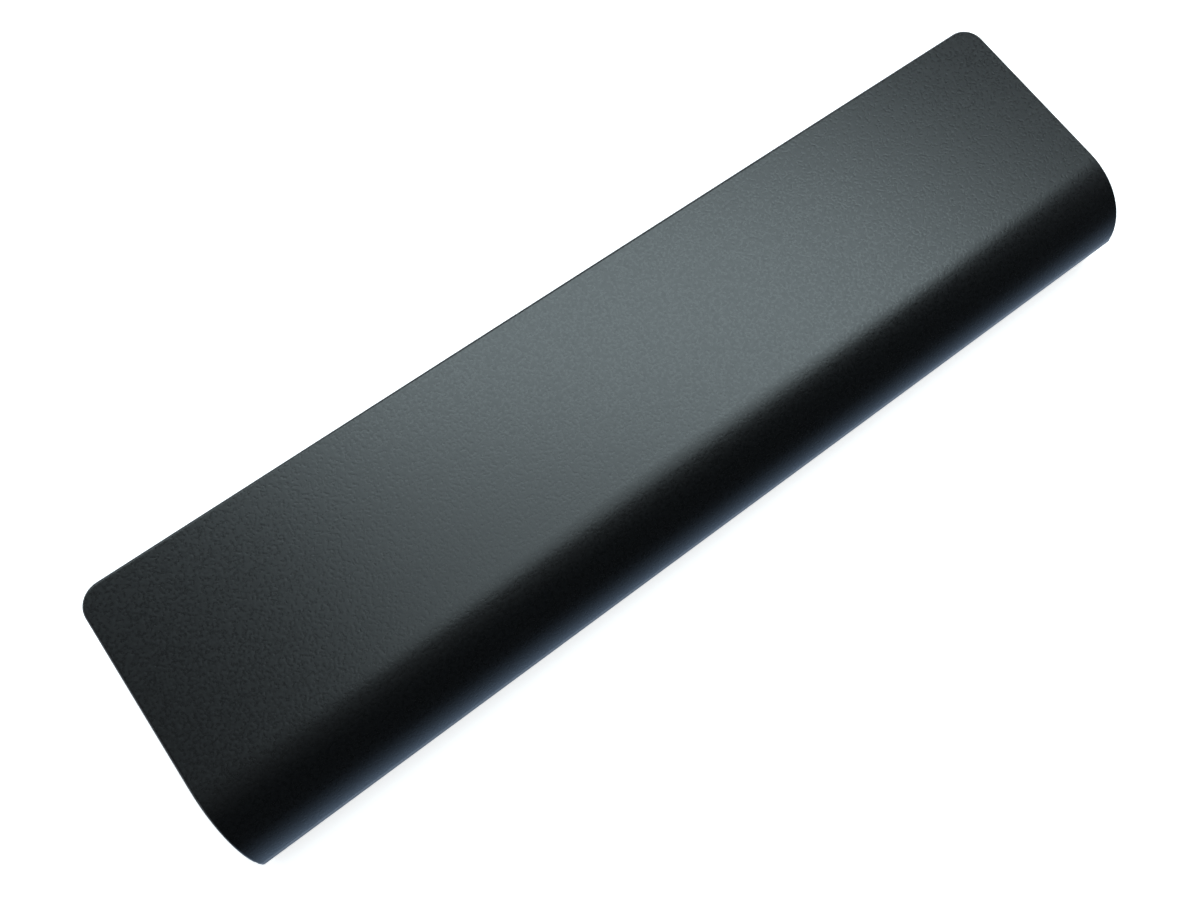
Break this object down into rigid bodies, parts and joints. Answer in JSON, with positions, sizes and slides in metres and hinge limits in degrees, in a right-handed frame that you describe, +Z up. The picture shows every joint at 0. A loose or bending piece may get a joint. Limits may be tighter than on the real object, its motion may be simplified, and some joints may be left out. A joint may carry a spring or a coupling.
{
  "type": "laptop battery",
  "caption": "Bar-shaped laptop battery pack with a flat face and one rounded long edge: cylindrical cells, nickel strips and a circuit board in a two-piece moulded case.",
  "frame": {"origin": "on the underside, in the middle of the overall length and width", "axes": "+X along the pack, +Y from the round nose to the flat back with the connector, +Z up, out of the plain broad face"},
  "size_m": [0.205, 0.0556, 0.0206],
  "materials": {
    "case_plastic": "black, fine spark-eroded texture",
    "connector_plastic": "black, plain moulded",
    "contact_metal": "gold-plated spring strip",
    "cell_sleeve": "shrunk sleeve",
    "nickel": "bright nickel strip",
    "insulating_paper": "matt fibre paper",
    "insulating_film": "satin polyester film",
    "adhesive_tape": "matt tape",
    "board_laminate": "green solder resist",
    "chip_resin": "matt moulding resin",
    "pale_ceramic": "fired, matt",
    "dark_ceramic": "glossy dark glaze",
    "thermistor_resin": "dipped resin",
    "red_insulation": "satin wire insulation",
    "black_insulation": "satin wire insulation"
  },
  "bodies": {
    "root": {"base": "case_plastic", "capacitors": "pale_ceramic", "cell_back_1": "cell_sleeve", "cell_back_2": "cell_sleeve", "cell_back_3": "cell_sleeve", "cell_front_1": "cell_sleeve", "cell_front_2": "cell_sleeve", "cell_front_3": "cell_sleeve", "charge_switch": "chip_resin", "circuit_board": "board_laminate", "connector_housing": "connector_plastic", "contact_1": "contact_metal", "contact_2": "contact_metal", "contact_3": "contact_metal", "contact_4": "contact_metal", "contact_5": "contact_metal", "contact_6": "contact_metal", "contact_7": "contact_metal", "cover": "case_plastic", "discharge_switch": "chip_resin", "end_paper_negative": "insulating_paper", "end_paper_positive": "insulating_paper", "fuse": "pale_ceramic", "gauge_chip": "chip_resin", "insulating_sheet": "insulating_film", "lead_negative": "black_insulation", "lead_positive": "red_insulation", "resistors": "dark_ceramic", "sense_resistor": "dark_ceramic", "strip_negative": "nickel", "strip_positive": "nickel", "strip_series_1": "nickel", "strip_series_2": "nickel", "tape_back": "adhesive_tape", "tape_front": "adhesive_tape", "thermistor": "thermistor_resin"}
  },
  "joints": []
}
